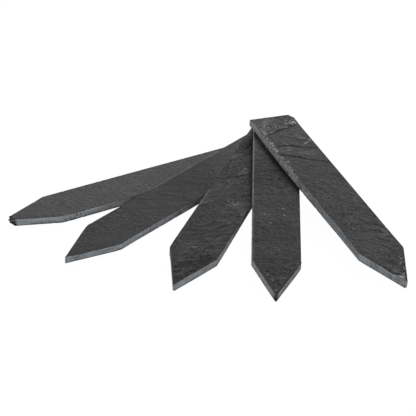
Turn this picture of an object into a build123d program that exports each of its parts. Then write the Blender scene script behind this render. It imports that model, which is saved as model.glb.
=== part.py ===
from build123d import *
from itertools import combinations
from math import cos, radians, sin
import os

os.makedirs("parts", exist_ok=True)

# One label stake, in millimetres: a strip of split slate, sawn square at the butt and to a point
LENGTH = 200.0  # butt edge to the whole point
WIDTH = 30.0
THICKNESS = 4.6
POINT = 35.0  # length of the sawn taper

# Damage: what has broken off each point, and the corner off the top stake's butt
SNAPPED_POINT = 6.4
WORN_POINT = 1.5
SHARP_POINT = 0.5
CHIP_ALONG = 4.4
CHIP_ACROSS = 2.5

# The heap: loose stakes fanned out from a common butt end, each lying on those under it and on the floor
CLEARANCE = 0.2  # air left where a stake rests on a lower one
SETTLINGS = 2  # a tilted stake covers a little less floor, so it settles again over its tilted outline
TOUCH = 1e-6  # a point this near a face counts as on it

# From the bottom up: the stakes, the headings of their points in degrees, the middles of their butt edges,
# and the length that each has lost at the point
NAMES = ["bottom_stake", "second_stake", "middle_stake", "fourth_stake", "top_stake"]
HEADINGS = [-148.6, -130.5, -109.4, -91.9, -67.9]
BUTTS_X = [12.8, 14.8, 17.3, 18.1, 14.7]
BUTTS_Y = [7.8, 9.5, 13.2, 12.6, 11.9]
LOST_POINTS = [SNAPPED_POINT, SHARP_POINT, SHARP_POINT, SHARP_POINT, WORN_POINT]
FLOOR = Plane.XY


# Corners of a stake in its own plane, anticlockwise, with X running from the butt to the point
def outline(lost):
    half = WIDTH / 2
    shoulder = LENGTH - POINT
    blunt = half * lost / POINT
    return [
        (0, half),
        (0, -half),
        (shoulder, -half),
        (LENGTH - lost, -blunt),
        (LENGTH - lost, blunt),
        (shoulder, half),
    ]


# Distance from the butt to the balance point of a whole stake, by the areas of its strip and its point
def balance():
    strip = LENGTH - POINT
    strip_area = strip * WIDTH
    point_area = POINT * WIDTH / 2
    moment = strip_area * strip / 2 + point_area * (strip + POINT / 3)
    return moment / (strip_area + point_area)


# The plane through a butt that runs along a heading and has the given slopes in X and Y
def bed_at(butt_x, butt_y, butt_z, heading, slope_x, slope_y):
    run_x = cos(radians(heading))
    run_y = sin(radians(heading))
    return Plane(
        origin=(butt_x, butt_y, butt_z),
        x_dir=(run_x, run_y, slope_x * run_x + slope_y * run_y),
        z_dir=(-slope_x, -slope_y, 1),
    )


# Height of a sloping plane over a point of the floor
def height(plane, x, y):
    lean = plane.z_dir
    start = plane.origin
    return start.Z - (lean.X * (x - start.X) + lean.Y * (y - start.Y)) / lean.Z


# Corners of a stake's outline as they lie over the floor
def plan(plane, lost):
    corners = [plane.from_local_coords((u, v, 0)) for u, v in outline(lost)]
    return [(corner.X, corner.Y) for corner in corners]


# Points that can hold a stake up: the floor under its corners, and the top of each lower stake
# at the corners of their overlap
def supports(corners, lower_stakes):
    points = [(x, y, 0.0) for x, y in corners]
    for top, top_corners in lower_stakes:
        with BuildSketch(FLOOR) as shared:
            with BuildLine():
                Polyline(*corners, close=True)
            make_face()
            with BuildLine():
                Polyline(*top_corners, close=True)
            make_face(mode=Mode.INTERSECT)
        for corner in shared.vertices():
            points.append((corner.X, corner.Y, height(top, corner.X, corner.Y) + CLEARANCE))
    return points


# Butt height and slopes of a stake at rest: of all planes on three supports that clear the others,
# the one that is lowest at the balance point
def settle(points, butt, middle):
    lowest = None
    for (ax, ay, az), (bx, by, bz), (cx, cy, cz) in combinations(points, 3):
        turn = (bx - ax) * (cy - ay) - (cx - ax) * (by - ay)
        if abs(turn) < TOUCH:
            continue
        slope_x = ((bz - az) * (cy - ay) - (cz - az) * (by - ay)) / turn
        slope_y = ((cz - az) * (bx - ax) - (bz - az) * (cx - ax)) / turn
        if any(az + slope_x * (x - ax) + slope_y * (y - ay) < z - TOUCH for x, y, z in points):
            continue
        middle_z = az + slope_x * (middle.X - ax) + slope_y * (middle.Y - ay)
        butt_z = az + slope_x * (butt.X - ax) + slope_y * (butt.Y - ay)
        if lowest is None or middle_z < lowest[0]:
            lowest = (middle_z, butt_z, slope_x, slope_y)
    return lowest[1:]


lower_stakes = []
for name, heading, butt_x, butt_y, lost in zip(NAMES, HEADINGS, BUTTS_X, BUTTS_Y, LOST_POINTS):
    # Each stake starts flat on the floor, which is where the bottom one stays
    bed = bed_at(butt_x, butt_y, 0, heading, 0, 0)
    for _ in range(SETTLINGS):
        points = supports(plan(bed, lost), lower_stakes)
        middle = bed.from_local_coords((balance(), 0, 0))
        butt_z, slope_x, slope_y = settle(points, bed.origin, middle)
        bed = bed_at(butt_x, butt_y, butt_z, heading, slope_x, slope_y)
    top = bed.offset(THICKNESS)

    with BuildPart() as stake:
        with BuildSketch(bed):
            with BuildLine():
                Polyline(*outline(lost), close=True)
            make_face()
        extrude(amount=THICKNESS)
        # The top stake has lost the right-hand corner of its butt
        if name == "top_stake":
            side = WIDTH / 2
            with BuildSketch(top):
                with BuildLine():
                    Polyline((0, side - CHIP_ACROSS), (CHIP_ALONG, side), (0, side), close=True)
                make_face()
            extrude(amount=-THICKNESS, mode=Mode.SUBTRACT)

    stake.part.label = name
    export_step(stake.part, f"parts/{name}.step")
    lower_stakes.append((top, plan(top, lost)))
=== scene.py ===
import math

import bpy
import numpy as np
from mathutils import Matrix, Vector


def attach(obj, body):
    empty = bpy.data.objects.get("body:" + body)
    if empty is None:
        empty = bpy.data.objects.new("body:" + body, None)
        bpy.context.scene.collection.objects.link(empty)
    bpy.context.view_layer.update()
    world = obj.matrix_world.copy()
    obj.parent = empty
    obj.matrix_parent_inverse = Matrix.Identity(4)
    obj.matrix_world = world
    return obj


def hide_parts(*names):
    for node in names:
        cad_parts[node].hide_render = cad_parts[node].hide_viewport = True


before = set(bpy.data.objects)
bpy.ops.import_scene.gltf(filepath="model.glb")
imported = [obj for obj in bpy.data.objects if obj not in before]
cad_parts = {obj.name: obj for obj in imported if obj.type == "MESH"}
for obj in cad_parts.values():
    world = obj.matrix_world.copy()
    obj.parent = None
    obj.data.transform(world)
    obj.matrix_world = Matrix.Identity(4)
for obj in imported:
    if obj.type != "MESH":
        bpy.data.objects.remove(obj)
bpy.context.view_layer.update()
scene = bpy.context.scene
mm = 0.001
print("slate stakes: frame loaded,", len(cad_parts), "stakes")


def addObject(name, data):
    made = bpy.data.objects.new(name, data)
    scene.collection.objects.link(made)
    return made


# Camera at the photograph's viewing angle
view = {
    "lens": 133.97,  # on Blender's 36 mm sensor
    "place": (-28.17, -953.9, 479.2),  # mm, in front of the heap and above it
    "lookDown": 28.51,  # degrees below the horizon
    "clipStart": 10.0,  # mm
}
cameraData = bpy.data.cameras.new("viewCamera")
cameraData.lens = view["lens"]
cameraData.clip_start = view["clipStart"] * mm
camera = addObject("viewCamera", cameraData)
camera.location = Vector(view["place"]) * mm
camera.rotation_euler = (math.radians(90 - view["lookDown"]), 0, 0)
scene.camera = camera
print("slate stakes: camera placed")


# Small helpers for node trees
def addNode(tree, kind, settings=None, inputs=None):
    made = tree.nodes.new("ShaderNode" + kind)
    for name, value in (settings or {}).items():
        setattr(made, name, value)
    for name, value in (inputs or {}).items():
        if isinstance(value, bpy.types.NodeSocket):
            tree.links.new(value, made.inputs[name])
        else:
            made.inputs[name].default_value = value
    return made


def mathNode(tree, operation, first, second=0.0, third=0.0, clamp=False):
    settings = {"operation": operation, "use_clamp": clamp}
    return addNode(tree, "Math", settings, {0: first, 1: second, 2: third}).outputs[0]


def mixColour(tree, factor, first, second):
    colours = [(*colour, 1) if isinstance(colour, tuple) else colour for colour in (first, second)]
    inputs = {0: factor, 6: colours[0], 7: colours[1]}  # places of the mix node's colour inputs
    return addNode(tree, "Mix", {"data_type": "RGBA"}, inputs).outputs[2]


def remap(tree, value, fromLow, fromHigh, toLow=0.0, toHigh=1.0):
    inputs = {"Value": value, "From Min": fromLow, "From Max": fromHigh, "To Min": toLow, "To Max": toHigh}
    return addNode(tree, "MapRange", None, inputs).outputs[0]


# Noise with its own scale along, across and up the stake, in cells per metre
def stretchedNoise(tree, where, scale, detail, roughness):
    spot = addNode(tree, "VectorMath", {"operation": "MULTIPLY"}, {0: where, 1: scale})
    inputs = {"Vector": spot.outputs[0], "Scale": 1.0, "Detail": detail, "Roughness": roughness}
    return addNode(tree, "TexNoise", None, inputs).outputs[0]


def newGroup(name, inputs, outputs):
    tree = bpy.data.node_groups.new(name, "ShaderNodeTree")
    for way, labels in (("INPUT", inputs), ("OUTPUT", outputs)):
        for label in labels:
            tree.interface.new_socket(label, in_out=way, socket_type="NodeSocketFloat")
    return tree, tree.nodes.new("NodeGroupInput").outputs, tree.nodes.new("NodeGroupOutput").inputs


def placeGroup(tree, group, inputs):
    return addNode(tree, "Group", {"node_tree": group}, inputs).outputs


def spotOnStake(tree):
    return addNode(tree, "Attribute", {"attribute_name": "stakeSpot"}).outputs["Vector"]


def attributeValue(tree, name):
    return addNode(tree, "Attribute", {"attribute_name": name}).outputs["Fac"]


def weighted(tree, *parts):
    total = 0.0
    for value, weight in parts:
        total = mathNode(tree, "MULTIPLY_ADD", value, weight, total)
    return total


# Effects that the split faces and the sawn edges share
def makeCleftGrain():
    tree, given, made = newGroup("cleftGrain", ("Turn", "Fineness"), ("Tone", "Height"))
    turning = {"Vector": spotOnStake(tree), "Angle": given["Turn"]}
    turned = addNode(tree, "VectorRotate", {"rotation_type": "Z_AXIS"}, turning).outputs[0]
    scaling = {0: turned, "Scale": given["Fineness"]}
    where = addNode(tree, "VectorMath", {"operation": "SCALE"}, scaling).outputs[0]
    fibres = stretchedNoise(tree, where, (290, 430, 400), 5.0, 0.68)
    grit = stretchedNoise(tree, where, (600, 1000, 900), 2.0, 0.6)
    clouds = stretchedNoise(tree, where, (60, 90, 70), 3.0, 0.5)
    tone = remap(tree, weighted(tree, (fibres, 0.3), (clouds, 0.12), (grit, 0.58)), 0.38, 0.62, -0.5, 0.5)
    patches = stretchedNoise(tree, where, (75, 110, 90), 2.0, 0.5)
    shown = remap(tree, patches, 0.36, 0.64, 0.4, 1.5)  # the grain shows more in some places than in others
    tree.links.new(mathNode(tree, "MULTIPLY_ADD", tone, shown, 0.5), made["Tone"])
    tree.links.new(weighted(tree, (fibres, 0.65), (grit, 0.35)), made["Height"])
    return tree


def makeSawMarks():
    tree, given, made = newGroup("sawMarks", ("Layers",), ("Tone", "Height"))
    where = spotOnStake(tree)
    lean = (800, 300, 150)  # strokes per metre along, across and up
    slant = addNode(tree, "VectorMath", {"operation": "DOT_PRODUCT"}, {0: where, 1: lean})
    inputs = {"W": slant.outputs["Value"], "Scale": 1.0, "Detail": 1.0}
    strokes = addNode(tree, "TexNoise", {"noise_dimensions": "1D"}, inputs).outputs[0]
    layers = stretchedNoise(tree, where, (40, 40, 900), 4.0, 0.6)  # the stone's own layers, end on
    strokeShare = mathNode(tree, "SUBTRACT", 1.0, given["Layers"])
    both = weighted(tree, (strokes, strokeShare), (layers, given["Layers"]))
    tree.links.new(remap(tree, both, 0.4, 0.6), made["Tone"])
    tree.links.new(both, made["Height"])
    return tree


def makeEdgeWear():
    tree, given, made = newGroup("edgeWear", ("Amount",), ("Worn", "Fresh"))
    patches = stretchedNoise(tree, spotOnStake(tree), (240, 240, 240), 5.0, 0.65)
    ragged = remap(tree, patches, 0.44, 0.6)
    worn = mathNode(tree, "MULTIPLY", attributeValue(tree, "arris"), ragged)
    tree.links.new(mathNode(tree, "MULTIPLY", worn, given["Amount"], clamp=True), made["Worn"])
    flakes = remap(tree, patches, 0.3, 0.6, 0.5, 1.0)
    tree.links.new(mathNode(tree, "MULTIPLY", attributeValue(tree, "chipped"), flakes), made["Fresh"])
    return tree


def makeDust():
    tree, given, made = newGroup("dust", ("Amount",), ("Film", "Specks"))
    where = spotOnStake(tree)
    film = remap(tree, stretchedNoise(tree, where, (55, 80, 80), 6.0, 0.7), 0.48, 0.72)
    specks = remap(tree, stretchedNoise(tree, where, (800, 800, 800), 1.0, 0.4), 0.76, 0.8)
    tree.links.new(mathNode(tree, "MULTIPLY", film, given["Amount"]), made["Film"])
    tree.links.new(mathNode(tree, "MULTIPLY", specks, given["Amount"]), made["Specks"])
    return tree


cleftGrain = makeCleftGrain()
sawMarks = makeSawMarks()
edgeWear = makeEdgeWear()
dust = makeDust()
print("slate stakes: shared effects built")


def clearTree(owner):
    owner.use_nodes = True
    owner.node_tree.nodes.clear()
    return owner.node_tree


# A material with the worn edges and the dust that both kinds of surface have
def newMaterial(look, kind, worn):
    material = bpy.data.materials.new(look["node"] + kind)
    tree = clearTree(material)
    shader = addNode(tree, "BsdfPrincipled")
    addNode(tree, "OutputMaterial", None, {"Surface": shader.outputs[0]})
    wear = placeGroup(tree, edgeWear, {"Amount": worn})
    haze = placeGroup(tree, dust, {"Amount": look["dust"]})
    return material, tree, shader.inputs, wear, haze


# The tone painted on the mesh, lifted and lowered by finer marks
def tonedBy(tree, *marks):
    tone = attributeValue(tree, "tone")
    for value, amount in marks:
        tone = mathNode(tree, "MULTIPLY_ADD", mathNode(tree, "SUBTRACT", value, 0.5), amount, tone)
    return mathNode(tree, "ADD", tone, 0.0, clamp=True)


# Coats of other colours over the first, each as strong as its factor
def coated(tree, look, colour, *coats):
    for factor, name in coats:
        colour = mixColour(tree, factor, colour, look[name])
    return colour


# Roughness falls as the tone rises; depth of the bumps is in mm
def finishShader(tree, shader, look, colour, tone, rough, height, depth):
    tree.links.new(colour, shader["Base Color"])
    tree.links.new(remap(tree, tone, 0.0, 1.0, *rough), shader["Roughness"])
    shader["Specular IOR Level"].default_value = look["shine"]
    inputs = {"Strength": look["bump"], "Distance": depth * mm, "Height": height}
    tree.links.new(addNode(tree, "Bump", None, inputs).outputs[0], shader["Normal"])


# The face where the slate was split: dark, silky, streaked along its grain
def splitFace(look):
    material, tree, shader, wear, haze = newMaterial(look, "_splitFace", look["faceWear"])
    grain = placeGroup(tree, cleftGrain, {"Turn": -math.radians(look["grain"]), "Fineness": 1.0})
    tone = tonedBy(tree, (grain["Tone"], attributeValue(tree, "grainShown")))
    held = remap(tree, tone, 0.15, 0.75, 0.25, 1.0)  # the pale skin holds best where the face is light
    patchy = mathNode(tree, "MULTIPLY", attributeValue(tree, "pale"), held)
    colour = coated(
        tree, look, mixColour(tree, tone, look["deep"], look["light"]),
        (haze["Film"], "filmColour"), (patchy, "paleColour"), (wear["Worn"], "wornColour"),
        (wear["Fresh"], "freshColour"), (haze["Specks"], "freshColour"),
    )
    finishShader(tree, shader, look, colour, tone, look["faceRough"], grain["Height"], look["grainDepth"])
    return material


# The cut edges: paler and bluer, with saw strokes and the stone's layers
def sawnEdge(look):
    material, tree, shader, wear, haze = newMaterial(look, "_sawnEdge", look["edgeWear"])
    marks = placeGroup(tree, sawMarks, {"Layers": look["layers"]})
    grain = placeGroup(tree, cleftGrain, {"Turn": 0.0, "Fineness": look["sideFineness"]})
    tone = tonedBy(tree, (marks["Tone"], look["markContrast"]), (grain["Tone"], look["sideContrast"]))
    weathered = mixColour(tree, tone, look["sideDeep"], look["sideLight"])
    clean = mixColour(tree, tone, look["pointDeep"], look["pointLight"])
    colour = coated(
        tree, look, mixColour(tree, attributeValue(tree, "pale"), weathered, clean),
        (haze["Film"], "filmColour"), (wear["Worn"], "wornColour"), (wear["Fresh"], "freshColour"),
    )
    finishShader(tree, shader, look, colour, tone, look["sideRough"], marks["Height"], look["sawDepth"])
    return material


# Repeatable noise for the shapes, from -1 to 1, with one cell per unit; the corners are hashed whole numbers
def cornerValue(i, j, seed):
    mixed = (i.astype(np.int64) * 374761393 + j.astype(np.int64) * 668265263 + seed * 974634777) & 0xFFFFFFFF
    mixed = ((mixed ^ (mixed >> 13)) * 1274126177) & 0xFFFFFFFF
    return ((mixed ^ (mixed >> 16)) & 0xFFFF) / 32767.5 - 1.0


def ease(x):
    x = np.clip(x, 0.0, 1.0)
    return x * x * x * (x * (x * 6 - 15) + 10)


def noise(x, y, seed):
    i, j = np.floor(x), np.floor(y)
    across, up = ease(x - i), ease(y - j)
    low = cornerValue(i, j, seed) * (1 - across) + cornerValue(i + 1, j, seed) * across
    high = cornerValue(i, j + 1, seed) * (1 - across) + cornerValue(i + 1, j + 1, seed) * across
    return low * (1 - up) + high * up


# How the stone varies: rows of an amount, a length along, a length across and a shift of the seed
varies = {
    "bendAlong": [(4.0, 23, 15, 0), (1.6, 8, 6, 11)],  # mm
    "bendAcross": [(2.4, 21, 13, 1), (1.3, 9, 7, 12)],
    "ripples": [(0.75, 1, 1, 2), (0.4, 1 / 1.7, 1 / 1.6, 3)],
    "rippleStrength": [(0.6, 24, 14, 4)],
    "waveBend": [(2.0, 15, 11, 13), (0.7, 5, 5, 15)],
    "waveStrength": [(1.5, 8, 4.5, 14)],
    "layers": [(2.0, 34, 16, 5), (1.0, 12, 6, 6)],
    "swell": [(0.6, 41, 24, 7), (0.4, 17, 11, 8)],
    "grit": [(1.0, 1.9, 1.1, 9)],
    "crestGlints": [(1.0, 1.8, 1.0, 10)],
    "lip": [(0.7, 2.7, 1, 0), (0.5, 0.9, 1, 1)],
    "lipFlecks": [(1.6, 1.6, 1.6, 2)],
    "line": [(0.6, 2.1, 2.1, 0), (0.4, 0.8, 0.8, 1)],
    "break": [(0.12, 1 / 5, 1 / 9, 50), (0.1, 1 / 13, 1 / 21, 51)],
    "sawCut": [(0.05, 47, 1, 20), (0.02, 4.3, 1, 21)],
    "rimDots": [(0.9, 1.2, 1.2, 35)],
    "sideLayers": [(1.0, 7.0, 1 / 9, 30)],
    "sideTone": [(0.2, 9, 1 / 2.5, 33), (0.16, 2.2, 1 / 7, 34)],
    "sideBlotches": [(1.0, 1.2, 1 / 2.6, 36)],
    "patches": [(0.7, 6, 6, 70), (0.4, 2, 2, 71)],
}


def varied(kind, x, y, seed):
    total = 0.0
    for amount, along, across, shift in varies[kind]:
        total = total + amount * noise(x / along, y / across, seed + shift)
    return total


def unit(x):
    return np.clip(x, 0, 1)


# 1 where the distance is 0, fading away over a width
def fade(distance, wide):
    return np.exp(-((distance / wide) ** 2))


# Reads where a stake lies from its CAD node: u runs from the butt to the point, v to the left of that, w up
def readStake(node):
    mesh = node.data
    under = [face for face in mesh.polygons if face.normal.z < -0.9]  # the faces that look down
    up = -sum((face.normal * face.area for face in under), Vector()).normalized()
    uses = {}
    for face in under:
        for key in face.edge_keys:
            uses[key] = uses.get(key, 0) + 1
    rim = [[mesh.vertices[i].co for i in key] for key, count in uses.items() if count == 1]
    along = max((b - a for a, b in rim), key=lambda edge: edge.length).normalized()
    corners = [corner for edge in rim for corner in edge]

    def endWidth(direction):
        reach = max(c.dot(direction) for c in corners)
        side = up.cross(direction)
        ends = [c.dot(side) for c in corners if reach - c.dot(direction) < 0.1 * mm]
        return max(ends) - min(ends)

    if endWidth(along) > endWidth(-along):
        along = -along
    left = up.cross(along)
    sides = [c.dot(left) for c in corners]
    origin = (
        along * min(c.dot(along) for c in corners)
        + left * (max(sides) + min(sides)) / 2
        + up * corners[0].dot(up)
    )
    place = Matrix((along, left, up)).transposed().to_4x4()
    place.translation = origin
    flat = {tuple(round(x / mm, 3) for x in (place.inverted() @ c)[:2]) for c in corners}
    return {
        "place": place,
        "right": np.array(sorted(p for p in flat if p[1] < 0)),  # the two long outlines, butt to point
        "left": np.array(sorted(p for p in flat if p[1] > 0)),
        "thick": max((v.co - origin).dot(up) for v in mesh.vertices) / mm,
    }


# Points from start to end, no further apart than step, with finer ones by both ends
fineSteps = (0.1, 0.22, 0.38, 0.6, 0.9)


def gradedPoints(start, end, step, knots=()):
    marks = {start, end, *knots}
    marks |= {start + f for f in fineSteps if start + f < end}
    marks |= {end - f for f in fineSteps if end - f > start}
    marks = sorted(marks)
    points = []
    for a, b in zip(marks, marks[1:]):
        points.extend(np.linspace(a, b, max(1, math.ceil((b - a) / step)), endpoint=False))
    return np.array([*points, marks[-1]])


# A value given at some distances from the butt, in between them too
def alongStake(u, run):
    return np.interp(u, *zip(*run))


def turned(u, v, degrees):
    turn = math.radians(degrees)
    return u * math.cos(turn) + v * math.sin(turn), v * math.cos(turn) - u * math.sin(turn)


# What each kind of relief adds to the height of a split face, in mm, and to its tone; ripples differ by
# stake. Where the tone follows the relief it is painted light: painted shade on the steps and at the foot of
# each wave, a painted highlight along each wave's crest, and painted glints on the ripple crests
reliefHeight = {"swell": 0.07, "steps": 0.035, "grit": 0.015, "waves": 0.2}
reliefTone = {"swell": 0.06, "stepShade": -0.12, "crestGlints": 0.7, "waves": 0.1, "waveFootShade": -0.35, "waveCrestHighlight": 0.2}
reliefForm = {
    "least": 0.05,  # mm below the flat
    "crest": 0.17,  # mm of height, at which the ridges are rubbed flat
    "tone": 0.45,
    "waveRise": 0.8,  # share of a wave in which it rises
    "waveFootShade": 0.45,  # mm, width of the dark line
    "waveCrestHighlight": 0.5,
    "crestAt": 0.75,
    "stepShare": 0.2,  # share of a layer over which it ends
}


# Relief of a split face: how far it lies below the flat, in mm, and its tone, 0 dark to 1 light
# Where calm is 0, by the sawn edges, the face is flat; proud is how far its ridges may stand above that
def splitRelief(u, v, look, seed, calm, proud):
    x, y = turned(u, v, look["grain"])
    alongBend = x + varied("bendAlong", x, y, seed)
    acrossBend = y + varied("bendAcross", x, y, seed)
    ripples = varied("ripples", alongBend / look["rippleLength"], acrossBend / look["ripple"], seed)
    strength = np.clip(0.75 + varied("rippleStrength", x, y, seed), 0.2, 1.25)

    # Waves side by side that come and go: each rises slowly and drops at once, to a dark line of painted
    # shade at its foot, with a painted highlight along its crest
    pitch, rise = look["wavePitch"], reliefForm["waveRise"]
    waveX, waveY = turned(u, v, look["waveTurn"])
    waveY = waveY + varied("waveBend", waveX, waveY, seed)
    phase = waveY / pitch - np.floor(waveY / pitch)
    shown = unit(0.25 + varied("waveStrength", waveX, waveY, seed)) * alongStake(u, look["waves"])
    fromFoot = np.minimum(phase, 1 - phase) * pitch
    fromCrest = (phase - reliefForm["crestAt"]) * pitch

    # Thin layers, each ending in a low ragged step, darkened on the step as painted shade
    layers = varied("layers", alongBend, acrossBend, seed) + 0.3 * ripples
    step = ease((layers - np.floor(layers)) / reliefForm["stepShare"])

    parts = {
        "ripples": ripples * strength,
        "swell": varied("swell", u, v, seed),
        "steps": np.floor(layers) + step,
        "stepShade": 4 * step * (1 - step) * strength,
        "grit": varied("grit", x, y, seed),
        # bright flecks where the ripples stand highest: painted glints
        "crestGlints": unit(2.0 * ripples * strength - 0.5) * unit(0.3 + varied("crestGlints", x, y, seed)),
        "waves": shown * (np.minimum(phase / rise, (1 - phase) / (1 - rise)) - 0.5),
        "waveFootShade": shown * fade(fromFoot, reliefForm["waveFootShade"]),
        "waveCrestHighlight": shown * fade(fromCrest, reliefForm["waveCrestHighlight"]),
    }
    heights = {**reliefHeight, "ripples": look["rippleDepth"]}
    tones = {**reliefTone, "ripples": look["rippleTone"]}
    high = sum(amount * parts[name] for name, amount in heights.items()) * alongStake(u, look["reliefRun"])
    mottle = sum(amount * parts[name] for name, amount in tones.items())
    depth = calm * (reliefForm["least"] + np.maximum(reliefForm["crest"] - high, 0) - proud)
    tone = reliefForm["tone"] + alongStake(u, look["toneRun"]) + alongStake(u, look["contrast"]) * mottle
    return depth, tone


# A layer that ends across the face: the stone drops past its lip and slowly comes up again
def ledgeShape(u, v, ledge, seed):
    path = np.array(ledge["path"])
    lip = np.interp(v, path[:, 0], path[:, 1]) + ledge["ragged"] * varied("lip", v, u * 0, seed)
    past = u - lip
    beyond = np.maximum(past, 0)
    inside = ease((v - path[0, 0]) / ledge["ends"] + 1) * ease((path[-1, 0] - v) / ledge["ends"] + 1)
    drop = ledge["drop"] * ease(past / ledge["fall"]) * np.exp(-beyond / ledge["heal"]) * inside
    shade = ledge["shade"] * ease(past / ledge["soft"] + 0.5) * np.exp(-beyond / ledge["shadeOver"]) * inside
    bright = ledge["bright"] * fade(past + ledge["brightBack"], ledge["brightWide"]) * inside
    return drop, shade, bright * unit(0.2 + varied("lipFlecks", v, u, seed))


# A thin line across the face: how deep it is, how much darker and how much paler
def stroke(path, wide, ragged, deep=0.0, shade=0.0, bright=0.0):
    return {"path": path, "wide": wide, "ragged": ragged, "deep": deep, "shade": shade, "bright": bright}


# Drop, shade and brightness of such a line, full on it and fading over its width
def lineShape(u, v, line, seed):
    nearest = np.full(len(u), np.inf)
    for (u0, v0), (u1, v1) in zip(line["path"], line["path"][1:]):
        runU, runV = u1 - u0, v1 - v0
        share = unit(((u - u0) * runU + (v - v0) * runV) / (runU**2 + runV**2))
        nearest = np.minimum(nearest, np.hypot(u - u0 - share * runU, v - v0 - share * runV))
    drawn = fade(nearest + line["ragged"] * varied("line", u, v, seed), line["wide"])
    return line["deep"] * drawn, line["shade"] * drawn, line["bright"] * drawn


def blob(u, v, at, size):
    return fade(u - at[0], size[0]) * fade(v - at[1], size[1])


# Breaks one chip off an arris: points beyond its slanting facet are pushed back onto it
def breakChip(shape, name, at, half, into, down, fresh, under=False):
    side = shape[name]
    near = np.nonzero(np.abs(side["run"] - at) < half)[0]
    size = np.sqrt(1 - ((side["run"][near] - at) / half) ** 2) + 1e-6
    into, down = into * size, down * size
    deep = shape["deep"][near]
    if under:
        deep = shape["thick"] - deep
    short = np.maximum(1 - side["in"][near] / into - deep / down, 0)
    cut = short / (1 / into**2 + 1 / down**2)
    shape["spot"][near, :2] += side["inward"][near] * (cut / into)[:, None]
    shape["spot"][near, 2] += (cut / down) * (1 if under else -1)
    shape["chipped"][near] = np.maximum(shape["chipped"][near], unit(short * 4) * fresh)


# Small random chips along a stretch of an arris, so that it is nowhere a clean line
def crumbleArris(shape, draw, name, stretch, count, size, fresh, under=False):
    for _ in range(count):
        into = size * (0.25 + draw.random_sample() ** 3)  # most are small
        at = draw.uniform(*stretch)
        half = into * draw.uniform(1.2, 4.0)
        down = into * draw.uniform(0.4, 1.0)
        breakChip(shape, name, at, half, into, down, fresh * draw.uniform(0.3, 1.0), under)


# How far a snapped point is set back, layer by layer and from its right side to its left
def snapBack(look, row, share):
    if look["snap"] is None:
        return 0 * row
    layers = np.array(look["snap"]["layers"])
    rightBack = np.interp(row, layers[:, 0], layers[:, 1])
    leftBack = np.interp(row, layers[:, 0], layers[:, 2])
    return rightBack + (leftBack - rightBack) * share + varied("break", share, row, look["seed"])


# How far a side stands out from the straight, from its top to its foot
def standOut(u, row, bow):
    places, tops, feet = zip(*bow)
    top = np.interp(u, places, tops)
    return top + (np.interp(u, places, feet) - top) * row


# A side that stands out as far at its foot as at its top
def even(*run):
    return [(at, out, out) for at, out in run]


edgeNames = ("right", "point", "left", "butt")
meshing = {"face": 0.5, "side": 0.4, "sharp": 38}  # steps in mm, and the angle of a sharp edge in degrees
edgeForm = {
    "setBackOver": 9.0,  # mm from the end, over which a point is set back
    "narrow": 4.0,  # mm of width, under which the saw wandered less
    "bevel": 0.12,  # mm off every upper arris, and off every lower one
    "underBevel": 0.06,
    "crumbFresh": 0.5,
    "rimShade": 0.5,  # mm
    "arris": 0.4,
}
sideForm = {
    "tone": 0.68,
    "slant": 1.7,
    "layerDepth": 0.05,  # mm
    "layerTone": 0.15,
    "rubbedAndHighlitOver": 1.2,  # mm
    "grimeAndShade": 0.8,
    "grimeAndShadeFrom": 0.8,  # share of the way down
    "streak": 0.12,
}


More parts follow.
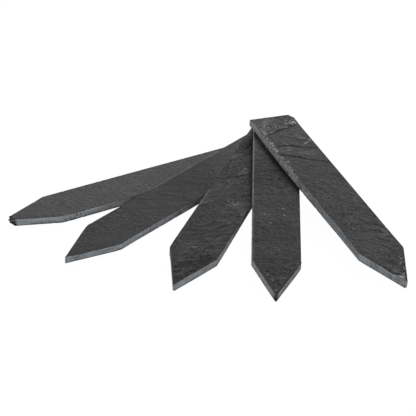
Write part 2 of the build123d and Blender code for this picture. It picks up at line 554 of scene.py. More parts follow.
def buildStake(look):
    stake = readStake(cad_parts[look["node"]])
    seed = look["seed"]
    thick = stake["thick"]
    right, left = stake["right"], stake["left"]
    end, shoulder = right[-1, 0], right[-2, 0]
    width = left[:, 1].max() - right[:, 1].min()
    stations = gradedPoints(0.0, end, meshing["face"], [*right[1:-1, 0], *left[1:-1, 0]])
    shares = gradedPoints(0.0, width, meshing["face"]) / width
    rows = gradedPoints(0.0, thick, meshing["side"]) / thick
    nu, nv = len(stations), len(shares)
    onFace = nu * nv

    # Every point of the surface as a station along the stake, a share of its width and a row of its thickness
    index = np.arange(onFace).reshape(nu, nv)
    rim = np.concatenate([index[:-1, 0], index[-1, :-1], index[:0:-1, -1], index[0, :0:-1]])
    rimEdge = np.repeat([0, 1, 2, 3], [nu - 1, nv - 1, nu - 1, nv - 1])  # as in edgeNames
    gridU, gridShare = (grid.ravel() for grid in np.meshgrid(stations, shares, indexing="ij"))
    midRows = rows[1:-1]
    sideRim = np.tile(rim, len(midRows))
    u = np.concatenate([gridU, gridU, gridU[sideRim]])
    share = np.concatenate([gridShare, gridShare, gridShare[sideRim]])
    row = np.concatenate([np.zeros(onFace), np.ones(onFace), np.repeat(midRows, len(rim))])
    top, under, sides = slice(0, onFace), slice(onFace, 2 * onFace), slice(2 * onFace, None)
    onEdge = {name: np.tile(rimEdge == number, len(midRows)) for number, name in enumerate(edgeNames)}

    # The outline, with the small wander of a hand-fed saw and the point set back where it snapped
    grow = look["grow"]
    setBack = snapBack(look, row, share) - look["reach"]
    u = u - setBack * ease(1 - (end - u) / edgeForm["setBackOver"]) + grow * (2 * u / end - 1)
    low = np.interp(u, right[:, 0], right[:, 1])
    high = np.interp(u, left[:, 0], left[:, 1])
    slack = np.minimum(1, (high - low) / edgeForm["narrow"])
    low = low - grow - standOut(u, row, look["bow"]["right"]) + slack * varied("sawCut", u, row, seed)
    high = high + grow + standOut(u, row, look["bow"]["left"]) - slack * varied("sawCut", u, row, seed + 2)
    v = low + (high - low) * share

    # Relief of the two split faces
    fromEnd = np.maximum(end + grow - u, 0)
    fromSide = {"right": v - low, "left": high - v}
    fromRim = np.minimum.reduce([*fromSide.values(), u + grow, fromEnd])
    calm = ease(fromRim / look["calmRim"])
    topU, topV = u[top], v[top]
    topDepth, topTone = splitRelief(topU, topV, look, seed, calm[top], look["proud"])
    underDepth, underTone = splitRelief(u[under], -v[under], look, seed + 40, calm[under], 0.0)
    dots = np.clip(1 + varied("rimDots", topU, topV, seed), 0, 2)
    for name, inside in fromSide.items():
        shade = alongStake(topU, look["rimShade"][name]) * np.exp(-inside[top] / edgeForm["rimShade"])
        topTone = topTone - dots * shade
    chipped = np.zeros(len(u))
    marks = [ledgeShape(topU, topV, ledge, seed + 60 + 3 * n) for n, ledge in enumerate(look["ledges"])]
    marks += [lineShape(topU, topV, line, seed + 90 + 2 * n) for n, line in enumerate(look["lines"])]
    for drop, shade, bright in marks:
        topDepth = topDepth + drop
        topTone = topTone - shade
        chipped[top] = np.maximum(chipped[top], bright)
    topHeight = thick - topDepth
    down = row[sides]
    w = np.concatenate([topHeight, underDepth, topHeight[sideRim] * (1 - down) + underDepth[sideRim] * down])

    # What the chips need to know of each edge: how far along it and how far in from it every point is
    shape = {"spot": np.stack([u, v, w], -1), "thick": thick, "deep": row * thick, "chipped": chipped}
    for name, outline, turn in (("right", right, 1), ("left", left, -1)):
        taper = (outline[-1, 1] - outline[-2, 1]) / (outline[-1, 0] - outline[-2, 0])
        slope = np.where(u < shoulder, 0.0, taper)
        lean = 1 / np.sqrt(1 + slope**2)
        shape[name] = {
            "run": u,
            "in": np.maximum(fromSide[name] * lean, 0),
            "inward": np.stack([-turn * slope * lean, turn * lean], -1),
        }
    ahead = np.stack([np.ones(len(u)), np.zeros(len(u))], -1)
    shape["butt"] = {"run": v, "in": u + grow, "inward": ahead}
    shape["point"] = {"run": v, "in": fromEnd, "inward": -ahead}

    # Sides: layers that stand in or out a little, and deeper where the stone tore
    runOn = (u + sideForm["slant"] * v)[sides]
    belly = np.sin(np.pi * down) ** 0.5
    layerLines = varied("sideLayers", runOn, down, seed)
    push = belly * sideForm["layerDepth"] * (1 + layerLines)
    sideTone = sideForm["tone"] + varied("sideTone", runOn, down, seed) - sideForm["layerTone"] * layerLines
    sideTone = sideTone + look["blotches"] * varied("sideBlotches", runOn, down, seed)
    # paler by the top arris: partly rubbed wear, partly a painted highlight
    rubbedAndHighlit = look["rubbedAndHighlit"] * np.exp(-down * thick / sideForm["rubbedAndHighlitOver"])  # pale by the top arris
    # darker towards the foot: partly grime, partly painted shade by the foot
    foot = ease((down - sideForm["grimeAndShadeFrom"]) / (1 - sideForm["grimeAndShadeFrom"]))
    sideTone = sideTone + rubbedAndHighlit - sideForm["grimeAndShade"] * foot
    for name, run in look["sideRun"].items():
        sideTone = sideTone + onEdge[name] * alongStake(u[sides], run)
    for streak in look["streaks"]:
        there = onEdge[streak["side"]] * fade(down - streak["row"], sideForm["streak"])
        there = there * unit(1 - np.abs(u[sides] - streak["at"]) / streak["half"]) ** 0.5
        sideTone = sideTone + streak["amount"] * there
    for tear in look["tears"]:
        off = (u[sides] - tear["at"]) / tear["half"]
        there = ease(1.5 * (1 - off**2)) * onEdge[tear["side"]]
        torn = 0.5 + 0.9 * noise(runOn / tear["length"], down * tear["layers"], seed + 32)
        push = push + belly * there * tear["deep"] * unit(torn)
        sideTone = sideTone + there * tear["shade"] * (0.55 - torn)
    tone = np.concatenate([topTone, underTone, sideTone])
    for name, here in onEdge.items():
        shape["spot"][sides][here, :2] += shape[name]["inward"][sides][here] * push[here, None]

    # Arrises: a little worn all along, small chips, then the worn stretches and single chips that show
    draw = np.random.RandomState(seed)
    for name in edgeNames:
        stretch = (shape[name]["run"].min(), shape[name]["run"].max())
        count = int((stretch[1] - stretch[0]) * look["chipsPerMm"])
        for below, bevel in ((False, edgeForm["bevel"]), (True, edgeForm["underBevel"])):
            breakChip(shape, name, 0, 9999, bevel, bevel, 0, below)  # all along
            crumbleArris(shape, draw, name, stretch, count, look["chipSize"], edgeForm["crumbFresh"], below)
    for worn in look["wornArrises"]:
        crumbleArris(shape, draw, *worn)
    for chip in look["chips"]:
        breakChip(shape, *chip)

    # What the materials read, beside the tone: worn arrises, fresh chips, paler patches
    nearest = np.minimum.reduce([shape[name]["in"] for name in edgeNames])
    fromArris = nearest + np.minimum(row, 1 - row) * thick
    arris = np.exp(-fromArris / edgeForm["arris"])
    grainShown = alongStake(u, look["fineContrast"])
    pale = np.zeros(len(u))
    ragged = unit(0.6 + varied("patches", topU, topV, seed))
    for at, size, amount in look["palePatches"]:
        pale[top] += amount * blob(topU, topV, at, size) * ragged
    cleanFrom, cleanTo = look["cleanSide"]
    cleaned = ease((u[sides] - cleanFrom) / (cleanTo - cleanFrom))
    pale[sides] = np.where(onEdge["butt"], look["buttClean"], cleaned)
    for number, (at, size, fill, amount, grain) in enumerate(look["flakes"]):
        broken = noise(topU / grain, topV / grain, seed + 80 + number)
        flaked = unit(3 * (fill * blob(topU, topV, at, size) + broken - 1))
        chipped[top] = np.maximum(chipped[top], amount * flaked)
    for at, size, amount in look["stains"]:
        tone = tone - amount * blob(u, v, at, size)

    # The mesh: top, underside and strips round the rim
    a, b, c, d = index[:-1, :-1], index[1:, :-1], index[1:, 1:], index[:-1, 1:]
    topFaces = np.stack([a, b, c, d], -1).reshape(-1, 4)
    levels = [rim, *np.arange(2 * onFace, len(u)).reshape(len(midRows), -1), rim + onFace]
    strips = []
    for upper, lower in zip(levels, levels[1:]):
        strips.append(np.stack([lower, np.roll(lower, -1), np.roll(upper, -1), upper], -1))
    faces = np.concatenate([topFaces, topFaces[:, ::-1] + onFace, *strips])
    finish = np.ones(len(faces), np.int32)
    finish[: 2 * len(topFaces)] = 0
    snap = look["snap"]
    if snap:
        finish[2 * len(topFaces):] = np.tile(rimEdge != edgeNames.index("point"), len(strips))
        # the break's tone by layer: its dark rows are painted shade in the gaps between the layers
        bands = alongStake(down + snap["slant"] * share[sides], snap["tones"])
        arris[u > end - snap["fresh"]] = 0  # a broken edge isn't worn pale
        tone[sides] = np.where(onEdge["point"], bands, tone[sides])
        chipped[sides] = np.where(onEdge["point"], unit(bands), chipped[sides])
    mesh = bpy.data.meshes.new(look["node"] + "_slate")
    place = stake["place"]
    inFrame = shape["spot"] * mm @ np.array(place.to_3x3()).T + np.array(place.translation)
    inFrame[:, 2] = np.maximum(inFrame[:, 2], 0)  # the grown foot stays on the floor
    mesh.from_pydata(inFrame.tolist(), [], faces.tolist())
    mesh.materials.append(splitFace(look))
    mesh.materials.append(sawnEdge(look))
    mesh.polygons.foreach_set("material_index", finish)
    mesh.shade_smooth()
    mesh.set_sharp_from_angle(angle=math.radians(meshing["sharp"]))
    painted = {"tone": tone, "arris": arris, "chipped": chipped, "pale": pale, "grainShown": grainShown}
    for name, values in painted.items():
        data = mesh.attributes.new(name, "FLOAT", "POINT").data
        data.foreach_set("value", unit(values).astype(np.float32))
    spots = (shape["spot"] * mm + (0, 0.1 * seed, 0)).astype(np.float32)  # no two stakes share a pattern
    mesh.attributes.new("stakeSpot", "FLOAT_VECTOR", "POINT").data.foreach_set("vector", spots.ravel())

    piece = addObject(look["node"] + "_slate", mesh)
    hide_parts(look["node"])
    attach(piece, look["node"])
    print("slate stakes:", look["node"], "built,", len(faces), "faces")


# What all five share; colours are linear, lengths in mm, and a run gives values at distances from the butt
slate = {
    "deep": (0.008, 0.008, 0.008),
    "filmColour": (0.034, 0.035, 0.034),
    "paleColour": (0.078, 0.084, 0.080),
    "wornColour": (0.13, 0.134, 0.137),
    "freshColour": (0.27, 0.28, 0.28),
    "sideDeep": (0.040, 0.042, 0.047),
    "sideLight": (0.270, 0.280, 0.300),
    "pointDeep": (0.070, 0.077, 0.083),
    "pointLight": (0.260, 0.280, 0.295),
    "faceRough": (0.72, 0.5),  # where it is dark, and where it is light
    "sideRough": (0.85, 0.65),
    "shine": 0.06,
    "bump": 0.7,
    "grainDepth": 0.8,
    "sawDepth": 0.05,
    "layers": 0.4,  # share of layers against saw strokes on the cut edges
    "faceWear": 0.12,
    "edgeWear": 0.6,
    "dust": 0.3,
    "markContrast": 0.2,
    "sideContrast": 0.35,
    "sideFineness": 1.4,
    "blotches": 0.25,
    "cleanSide": (140, 166),  # distances over which the sides turn from weathered to clean
    "buttClean": 0.2,
    "ripple": 2.3,  # across half a ripple, and along it
    "rippleLength": 5.0,
    "rippleTone": 0.16,
    "chipSize": 0.3,
    "chipsPerMm": 0.28,
    "reliefRun": [(0, 1.0)],  # strength of all the relief
    "waves": [(0, 0.3)],  # strength of the ridges
    "wavePitch": 4.0,
    "waveTurn": -45,
    "calmRim": 2.0,  # from a sawn edge, over which the relief dies away
    "proud": 0.17,
    "grow": 0.12,
    "reach": 0.0,  # how far the point stands out past the solid's
    "rimShade": {"right": [(0, 0.3)], "left": [(0, 0.3)]},  # dark line on the face by a sawn edge
    "rubbedAndHighlit": 0.2,
    "wornArrises": [],  # side, stretch, count, size, freshness
    "chips": [],  # side, at, half its length, into the face, down the side, freshness, and True if below
    "flakes": [],  # at, size, fill, amount, grain
    "stains": [],  # at, size, amount
    "palePatches": [],  # at, size, amount
    "lines": [],
    "ledges": [],
    "streaks": [],
    "tears": [],
    "snap": None,
}

# The bottom stake lies flat; its point snapped off in layers
bottomStake = {
    **slate,
    "node": "bottom_stake",
    "seed": 11,
    "grain": -33,  # degrees from the stake's length
    "deep": (0.003, 0.003, 0.003),
    "light": (0.140, 0.140, 0.140),
    "sideLight": (0.36, 0.37, 0.385),
    "toneRun": [(0, -0.06), (50, -0.04), (65, -0.048), (85, -0.03), (97, 0.008), (120, 0.02)],
    "contrast": [(0, 0.14)],
    "fineContrast": [(0, 0.3), (120, 0.33), (135, 0.42), (150, 0.36), (175, 0.46)],  # of the grain
    "dust": 0.12,
    "ripple": 2.4,
    "rippleLength": 3.2,
    "rippleDepth": 0.1,
    "snap": {
        "layers": [  # row from the top, set back on the right and on the left
            (0.0, -0.9, 0.65), (0.15, -0.9, 0.65), (0.19, -0.8, 1.7), (0.36, -0.8, 1.6), (0.42, -0.3, 1.6),
            (0.47, -1.6, 0.65), (0.68, -1.6, 0.65), (0.73, -0.7, 1.7), (0.93, -0.7, 1.4), (1.0, -1.0, 0.3),
        ],
        "slant": 0.3,
        "fresh": 3.0,  # from the end
        # the dark rows are painted shade in the gaps between the broken layers
        "tones": [  # by row, and slanting across the break
            (0.12, -0.3), (0.17, -0.5), (0.46, -0.5), (0.49, 0.45), (0.71, 0.45), (0.75, -0.5),
        ],
    },
    "rubbedAndHighlit": 0.4,
    "sideRun": {
        # darker up to 115 mm: painted shadow of the second stake where it crosses
        "left": [(0, -0.2), (115, -0.2), (121, 0.0), (132, 0.2), (150, 0.22), (163, 0.15), (168, -0.04)],
    },
    "bow": {  # at, out at the top, out at the foot
        "right": even((0, 0.4), (160, 0.5), (170, 0.2)),
        "left": [(130, 0.0, 0.1), (170, 0.1, 0.25)],
    },
    "lines": [stroke([(166, 13.2), (192, 2.2)], 1.5, 0.3, shade=0.13)],
    "stains": [((194, -2.6), (1.6, 1.4), 0.8)],
    "tears": [{"side": "left", "at": 154, "half": 12, "length": 1.2, "layers": 5, "deep": 0.3, "shade": 1.3}],
    "chips": [("left", 164.5, 3.0, 0.8, 2.8, 0.7)],
}
buildStake(bottomStake)

secondStake = {
    **slate,
    "node": "second_stake",
    "seed": 22,
    "grain": -48,
    "light": (0.070, 0.070, 0.0745),
    "reach": 0.35,
    "toneRun": [
        (0, 0.1), (24, 0.06), (33, 0.06), (41, 0.0), (52, -0.08), (66, -0.15), (82, -0.17), (97, -0.09),
        (112, -0.04), (127, 0.02), (140, -0.07), (152, 0.02), (172, 0.04), (190, 0.03),
    ],
    "contrast": [(0, 0.2)],
    "fineContrast": [(0, 0.4), (90, 0.3), (105, 0.32), (122, 0.44), (150, 0.52), (168, 0.56), (180, 0.4)],
    "dust": 0.2,
    "ripple": 2.4,
    "rippleLength": 6.0,
    "rippleDepth": 0.14,
    "sideRun": {"left": [(0, -0.2), (100, -0.2), (124, 0.1), (164, 0.1), (168, -0.06)]},
    "bow": {
        "right": even(
            (0, 0.1), (120, -0.33), (158, -0.4), (164.5, -0.4), (168, 0.1), (173, 0.22), (195, -0.08),
        ),
        "left": [
            (80, -0.1, -0.1), (150, -0.9, -0.7), (164, -0.6, -0.66), (169, 0.2, 0.04), (172, 0.4, 0.1),
            (195, 0.65, 0.3),
        ],
    },
    "lines": [
        stroke([(38, -14.6), (108, -14.5)], 0.6, 0.4, bright=0.45),
        stroke([(167, 13), (196, 1)], 1.5, 0.3, shade=0.1),
    ],
    "flakes": [
        ((68, -14.6), (2.6, 0.9), 1.8, 0.6, 1.2), ((96, -14.4), (2.0, 0.8), 1.6, 0.4, 1.2),
        ((45, -14.5), (2.0, 0.8), 1.6, 0.4, 1.2),
    ],
    "wornArrises": [("left", (105, 166), 16, 1.0, 0.4)],
    "chips": [("left", 198.5, 2.2, 0.7, 3.5, 0.25)],
}
buildStake(secondStake)

middleStake = {
    **slate,
    "node": "middle_stake",
    "seed": 33,
    "grain": -38,
    "light": (0.058, 0.058, 0.058),
    "layers": 0.35,
    "toneRun": [
        (0, 0.08), (30, -0.12), (52, -0.15), (68, -0.12), (75, -0.12), (90, -0.07), (140, -0.1), (150, -0.03),
        (168, -0.13), (185, -0.25), (200, -0.28),
    ],
    "contrast": [(0, 0.6)],
    "fineContrast": [(0, 0.9), (75, 0.85), (105, 0.9), (120, 0.75), (135, 0.5), (147, 0.5), (155, 0.75)],
    "dust": 0.15,
    "ripple": 2.0,
    "rippleLength": 6.0,
    "rippleDepth": 0.28,
    "rippleTone": 0.3,
    "waves": [(0, 0.3), (120, 0.4), (155, 1.0)],
    "wavePitch": 4.2,
    "waveTurn": -58,
    "rubbedAndHighlit": 0.3,
    "sideRun": {"right": [(0, 0.3)], "left": [(0, -0.7), (112, -0.55), (136, -0.05), (165, 0.07)]},
    "bow": {
        "right": even((0, 0.1), (80, 0.65), (140, 0.8), (156, 0.87), (162.5, 0.8), (166, -0.06), (169, -0.2)),
        "left": [
            (110, 0.0, 0.0), (139, 0.15, 0.2), (153, 0.35, 0.4), (168, -0.1, 0.2), (180, -0.15, 0.3),
            (196, -0.35, 0.1),
        ],
    },
    "flakes": [
        ((103, 3.5), (14, 6), 0.7, 0.4, 1.0), ((111, 6.4), (2.0, 2.0), 1.0, 0.4, 1.0),
        ((123.4, 9.4), (1.6, 1.6), 1.2, 0.4, 1.0), ((157, -2.5), (2.4, 1.6), 1.0, 0.35, 1.2),
    ],
    "lines": [
        stroke([(92, -15.3), (112, -15.4)], 0.7, 0.6, bright=0.4),
        stroke([(122, 10.5), (126.5, 8.8), (130, 5.8), (134, 4.2)], 0.6, 0.5, deep=0.12, shade=0.3),
        stroke([(125, 0.4), (129.5, -1.4), (133, -3.0)], 0.6, 0.5, deep=0.12, shade=0.3),
        stroke(
            [(72, -10.3), (71, -6.8), (68.8, -3.4), (66, -0.2), (63.5, 3.2)],
            0.8, 0.4, deep=0.15, shade=0.4,
        ),
        stroke(
            [(65.8, -4.4), (62.6, -3.4), (60.1, -2.5), (57.7, -2.2), (57.8, -0.4)],
            0.7, 0.3, deep=-0.1, shade=-0.4,
        ),
        stroke([(66.9, -3.7), (63.6, -1.6), (61.3, 0.4)], 0.6, 0.3, deep=-0.1, shade=-0.4),
    ],
    "stains": [
        ((176.5, 2.2), (3.5, 3.0), 0.22), ((164, 10.5), (2.5, 3.0), 0.15),
        ((163, -6), (9, 5), -0.15), ((170, 8), (6, 3.2), 0.3),
    ],
    "chips": [("point", 0, 3.0, 0.9, 3.5, 0.1, True)],
}
buildStake(middleStake)

fourthStake = {
    **slate,
    "node": "fourth_stake",
    "seed": 44,
    "grain": 93,
    "light": (0.045, 0.045, 0.045),
    "sideLight": (0.40, 0.41, 0.42),
    "pointDeep": (0.020, 0.021, 0.022),
    "pointLight": (0.295, 0.302, 0.309),
    # paler up to 33 mm as painted light that lifts the top stake's shadow; darker from 44 to 88 mm as painted
    # shade beside the top stake's side
    "toneRun": [
        (0, 0.55), (24, 0.5), (33, 0.12), (44, -0.13), (60, -0.26), (75, -0.34), (88, -0.1), (105, -0.14),
        (118, -0.02), (130, -0.18), (140, -0.16), (150, -0.02), (165, -0.14),
    ],
    "contrast": [(0, 0.4), (120, 0.3), (160, 0.45)],
    "fineContrast": [(0, 0.7), (85, 0.68), (115, 0.8), (130, 0.6), (150, 0.58), (165, 0.72), (178, 0.95)],
    "ripple": 2.6,
    "rippleLength": 3.4,
    "rippleDepth": 0.2,
    "waves": [(0, 0.2), (150, 0.3), (170, 0.8)],
    "wavePitch": 3.4,
    "waveTurn": 95,
    "rimShade": {"right": [(0, 0.0)], "left": [(0, 0.2), (160, 0.2), (168, 0.6), (182, 1.0)]},
    "sideRun": {"right": [(0, 0.7), (160, 0.7), (168, 0.25)], "left": [(0, 0.05)]},
    "bow": {
        "right": even(
            (80, 0.0), (130, -0.2), (155, -0.27), (168, -0.26), (176, -0.07), (186, 0.1), (195, 0.2),
        ),
        "left": even(
            (85, 0.15), (110, 0.06), (150, -0.02), (163, -0.15), (167.5, 0.28), (178, 0.2), (195, 0.0),
        ),
    },
    "wornArrises": [("right", (164, 199), 26, 0.4, 0.7), ("left", (164, 199), 22, 0.4, 0.7)],
    "flakes": [
        ((106.8, 4.6), (0.9, 0.9), 2.2, 0.7, 1.0), ((114, 5.0), (1.2, 0.6), 2.0, 0.6, 1.0),
        ((115, -7.2), (0.9, 0.8), 2.2, 0.7, 1.0), ((124, -3.7), (1.0, 0.9), 2.2, 0.8, 1.0),
        ((135, -10.2), (0.9, 0.7), 2.0, 0.4, 1.0), ((120, 6.0), (2.2, 1.6), 0.9, 0.3, 1.2),
        ((112, -8.0), (6.0, 5.0), 0.75, 0.25, 0.9), ((179.4, -5.3), (0.9, 0.7), 2.2, 0.5, 1.0),
        ((188.2, -0.5), (0.8, 0.7), 2.2, 0.5, 1.0), ((185, -2.5), (0.9, 0.8), 2.0, 0.6, 1.0),
        ((194.5, -0.8), (0.8, 0.6), 2.2, 0.8, 1.0), ((24, -9.5), (9, 4.5), 0.85, 0.25, 1.0),
    ],
    "lines": [stroke([(5, -14.8), (165, -14.8)], 0.4, 0.3, bright=0.7)],
    "stains": [
        ((199.6, 0), (2.2, 1.6), 1.5), ((164.5, -3.5), (3.0, 2.5), 0.25),
        ((175.2, -5.3), (1.0, 1.2), 0.35), ((182, -3.6), (1.0, 1.0), 0.35),
        # the last one is paler: painted light that narrows the top stake's shadow
        ((192, -1.6), (1.0, 0.9), 0.5), ((68, -7), (16, 7), -0.13),
    ],
}
buildStake(fourthStake)

# The top stake keeps some of its old skin at the butt, with a ragged lip
topStake = {
    **slate,
    "node": "top_stake",
    "seed": 55,
    "grain": 38,
    "light": (0.059, 0.059, 0.058),
    "sideLight": (0.36, 0.375, 0.385),
    "freshColour": (0.36, 0.37, 0.365),
    "toneRun": [
        (0, -0.14), (16, -0.07), (22, -0.04), (34, -0.1), (50, -0.08), (62, -0.13), (80, -0.18), (94, -0.09),
        (124, -0.13), (140, -0.11), (160, -0.02), (170, -0.1), (180, -0.18), (188, -0.09), (194, 0.08),
    ],
    "contrast": [(0, 0.65), (18, 0.5), (30, 0.35), (70, 0.4), (90, 0.55), (165, 0.5), (185, 0.7)],
    "fineContrast": [
        (0, 0.65), (14, 0.6), (20, 0.4), (36, 0.4), (50, 0.5), (62, 0.45), (76, 0.5), (86, 0.7), (130, 0.75),
        (150, 0.65), (158, 0.55), (172, 0.65), (182, 0.9),
    ],
    "rippleDepth": 0.3,
    "rippleTone": 0.22,
    "reliefRun": [
        (0, 0.9), (18, 0.6), (28, 0.35), (60, 0.4), (90, 0.8), (150, 0.9), (172, 0.5), (185, 0.5), (195, 0.9),
    ],
    "waves": [(0, 0.3), (70, 0.4), (95, 0.7)],
    "wavePitch": 3.4,
    "waveTurn": 54,
    "rimShade": {
        "right": [(0, 0.0), (78, 0.0), (95, 0.3), (165, 0.4)],
        "left": [(0, 0.35), (172, 0.35), (182, 1.2)],
    },
    "cleanSide": (80, 130),
    "sideRun": {
        "right": [
            (0, 0.15), (40, 0.05), (60, -0.05), (85, -0.1), (110, 0.0), (130, 0.2), (163, 0.15), (167, 0.0),
        ],
    },
    "bow": {  # the right side was dressed by hand, and leans out to its foot
        "right": [
            (0, 0.75, 0.55), (3, 0.4, 0.45), (8, 0.1, 0.4), (28, 0.2, 1.1), (60, 0.2, 1.3), (82, -0.3, 1.1),
            (98, -0.6, 0.8), (116, -0.7, 0.45), (138, -1.2, 0.0), (150, -0.6, -0.15), (163.5, -0.45, -0.3),
            (168, -0.75, 0.15), (184, -0.85, 0.05), (192, -0.5, 0.0), (197, -0.4, 0.0),
        ],
        "left": even(
            (0, 0.4), (60, 0.2), (140, 0.02), (156, 0.02), (164.5, 0.1), (168, 0.57), (172, 0.36),
            (178, 0.26), (195, -0.1),
        ),
    },
    "ledges": [
        {
            "path": [(-15, 22), (-10.7, 21), (-6.7, 19), (-1.3, 17.5), (2.7, 15.7), (8.7, 13.7), (15, 11)],
            "ends": 2.0, "ragged": 0.9, "drop": 0.4, "fall": 0.6, "heal": 60.0,
            "shade": 0.8, "soft": 0.4, "shadeOver": 0.9, "bright": 0.7, "brightBack": 0.3, "brightWide": 0.5,
        },
    ],
    "lines": [  # where thin layers end: two long ones, a horseshoe and a tongue, and some by the point
        stroke([(45, 13), (44, 9.5), (42, 4.7), (40.7, 1.3), (38.3, -1.7)], 0.8, 0.3, deep=0.25, shade=0.5),
        stroke([(38.3, -1.7), (37.7, -5.3), (36.7, -10), (38, -11.6)], 0.7, 0.2, deep=0.3, shade=0.6),
        stroke(
            [(64.3, 13.3), (62, 10.7), (59.3, 5.3), (56.7, 0.7), (53.3, -2)],
            0.8, 0.3, deep=0.25, shade=0.4,
        ),
        stroke([(53.3, -2), (52, -5.3), (49.7, -9.3), (47, -13.7)], 0.7, 0.2, deep=0.3, shade=0.6),
        stroke(
            [(39.6, -10.2), (39.6, -5), (41.5, -3.6), (43.4, -5.5), (43.4, -9.8), (41.5, -11.2)],
            0.5, 0.3, deep=-0.1, shade=-0.5,
        ),
        stroke([(48, 9), (48, 3), (47.3, -4)], 0.7, 0.4, deep=-0.1, shade=-0.35),
        stroke([(46.6, 8.6), (46, 3.4)], 0.6, 0.3, deep=0.1, shade=0.3),
        stroke([(51.6, 9), (50.4, 4), (49.4, 0)], 0.9, 0.4, deep=-0.1, shade=-0.35),
        stroke([(171, -11), (180, -7.3), (186, -5)], 1.0, 0.3, shade=0.45),
        stroke([(30.2, 7.4), (30.6, 9.6), (31.4, 11.6)], 0.6, 0.5, deep=-0.1, bright=0.5),
        stroke([(36.5, 10.8), (37.3, 9.6), (38.3, 7.6)], 0.6, 0.4, deep=-0.1, bright=0.62),
        stroke([(33.8, 14), (35.2, 12.8)], 0.6, 0.5, deep=-0.1, bright=0.5),
        stroke([(4.7, -6.7), (9, -9), (13.3, -11.3)], 0.9, 0.6, deep=-0.1, bright=0.35),
        stroke(
            [(182, -6.4), (186, -5.4), (188.4, -4.2), (190, -1.7), (190.7, 0.4)],
            0.6, 0.4, deep=0.3, shade=0.6,
        ),
        stroke([(192.5, -1.5), (193.9, -0.1)], 0.7, 0.2, deep=-0.1, bright=1.2),
        *[stroke(path, 0.5, 0.3, deep=0.15, shade=0.6) for path in (
            [(180.7, 6.5), (182.6, 4.5)],
            [(182.2, 6.3), (184.2, 4.5), (186, 2.9)],
            [(185.3, 3.8), (187.5, 3.6)],
            [(188.4, 1.4), (189.8, 2.1), (192, 2.3)],
        )],
        *[stroke(path, 0.5, 0.3, deep=-0.1, bright=0.45) for path in (
            [(181.1, 4.7), (179, 7)],
            [(185.2, 5), (187.1, 4.7)],
            [(189.1, 0.5), (190.6, 1.1), (192.7, 1.4)],
        )],
    ],
    "palePatches": [
        ((9, -9.5), (11, 7), 1.5), ((10, 4), (7, 9), 0.5),
        ((30, -14.5), (30, 2.6), 1.2), ((186.5, -0.7), (2.2, 2.0), 2.0),
    ],
    "flakes": [
        ((10.6, 11.3), (1.7, 3.6), 1.9, 1.0, 1.2), ((10.4, 6.2), (1.2, 1.4), 1.9, 0.8, 1.2),
        ((7, 10.5), (2.6, 3.0), 0.9, 0.6, 1.2), ((13.5, 2), (1.6, 4.0), 0.9, 0.5, 1.2),
        ((16, -13.4), (6, 2.0), 1.3, 0.7, 1.4), ((10, -10), (10, 6), 0.7, 0.6, 1.5),
        ((30, -14.8), (30, 1.6), 1.1, 0.7, 1.5), ((25.3, -13.7), (1.3, 1.5), 1.7, 0.7, 1.2),
        ((32, -13.6), (1.3, 1.6), 1.9, 0.8, 1.2), ((34.9, -14.2), (1.6, 1.4), 2.0, 1.0, 1.2),
        ((50.3, -14.2), (1.0, 1.2), 1.7, 0.7, 1.2), ((56.3, -13.3), (0.9, 1.6), 1.8, 0.6, 1.2),
        ((66, -14), (2.0, 1.3), 1.9, 0.9, 1.2), ((84.7, -12.9), (1.2, 1.1), 1.5, 0.4, 1.2),
        ((190.5, 2.2), (1.0, 0.9), 1.7, 0.7, 1.0), ((179, 8), (9, 1.2), 0.9, 0.5, 0.9),
    ],
    "stains": [
        ((188.6, 3.6), (2.0, 0.9), 0.4), ((198.6, 0), (0.8, 3.0), 0.3),
        ((186.6, -1.3), (1.9, 1.5), -0.35), ((180.6, 1.3), (1.6, 1.4), 0.2),
        ((177.2, -0.1), (1.6, 1.6), 0.2),
    ],
    "streaks": [{"side": "right", "at": 150, "half": 16, "row": 0.78, "amount": 0.8}],
    "wornArrises": [
        ("right", (0, 75), 36, 1.3, 0.9), ("right", (180, 197), 8, 0.6, 0.7),
        ("left", (165, 197), 24, 0.35, 0.8),
    ],
    "chips": [
        ("right", 21, 2.4, 1.7, 0.8, 0.7), ("right", 31.5, 2.6, 2.2, 0.9, 1.0),
        ("right", 35.6, 1.5, 1.3, 0.6, 0.9), ("right", 56.9, 1.8, 1.3, 0.6, 0.9),
        ("right", 63.0, 2.0, 1.9, 0.7, 1.0), ("right", 75.0, 1.8, 1.3, 0.6, 0.6),
        ("right", 194, 6.0, 1.6, 1.2, 0.6), ("point", 0, 2.0, 0.7, 2.5, 0.1),
        ("point", 0, 4.0, 0.33, 2.5, 0.1, True),
    ],
}
buildStake(topStake)


# Plain pale floor that shows white and keeps the heap's soft shadow
floorLook = {"size": 6.0, "colour": (0.92, 0.92, 0.92), "white": 1.03, "whiteShare": 0.95}  # size in m


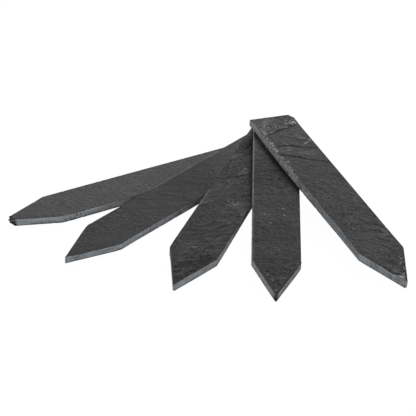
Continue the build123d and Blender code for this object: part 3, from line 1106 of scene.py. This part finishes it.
def whiteRays(tree):
    path = addNode(tree, "LightPath").outputs
    seen = mathNode(tree, "MAXIMUM", path["Is Camera Ray"], path["Is Glossy Ray"])
    return mathNode(tree, "MAXIMUM", seen, path["Is Transmission Ray"])


def buildFloor():
    half = floorLook["size"] / 2
    corners = [(-half, -half, 0), (half, -half, 0), (half, half, 0), (-half, half, 0)]
    mesh = bpy.data.meshes.new("paleFloor")
    mesh.from_pydata(corners, [], [(0, 1, 2, 3)])
    material = bpy.data.materials.new("paleFloor")
    tree = clearTree(material)
    plain = addNode(tree, "BsdfDiffuse", None, {"Color": (*floorLook["colour"], 1)})
    white = addNode(tree, "Emission", None, {"Color": (1, 1, 1, 1), "Strength": floorLook["white"]})
    share = mathNode(tree, "MULTIPLY", whiteRays(tree), floorLook["whiteShare"])
    both = addNode(tree, "MixShader", None, {0: share, 1: plain.outputs[0], 2: white.outputs[0]})
    addNode(tree, "OutputMaterial", None, {"Surface": both.outputs[0]})
    mesh.materials.append(material)
    floor = addObject("paleFloor", mesh)


buildFloor()


# Plain soft studio light; places and sizes are in metres
studio = {
    "sky": 0.2,
    "lamps": [
        {"name": "backSoftbox", "place": (0.54, 1.62, 1.13), "wide": 0.9, "tall": 0.9, "watts": 45.0},
        {"name": "frontStrip", "place": (0.0, -1.2, 0.18), "wide": 1.6, "tall": 0.3, "watts": 9.0},
    ],
    "aim": (-0.03, -0.08, 0.0),
}


def lightStudio():
    world = bpy.data.worlds.new("studioSky")
    scene.world = world
    tree = clearTree(world)
    level = mathNode(tree, "MAXIMUM", whiteRays(tree), studio["sky"])
    sky = addNode(tree, "Background", None, {"Color": (1, 1, 1, 1), "Strength": level})
    addNode(tree, "OutputWorld", None, {"Surface": sky.outputs[0]})
    for lamp in studio["lamps"]:
        data = bpy.data.lights.new(lamp["name"], "AREA")
        data.shape = "RECTANGLE"
        data.size = lamp["wide"]
        data.size_y = lamp["tall"]
        data.energy = lamp["watts"]
        lit = addObject(lamp["name"], data)
        lit.location = lamp["place"]
        lit.rotation_euler = (Vector(studio["aim"]) - lit.location).to_track_quat("-Z", "Y").to_euler()


lightStudio()
scene.view_settings.view_transform = "Standard"
print("slate stakes: floor and light set")
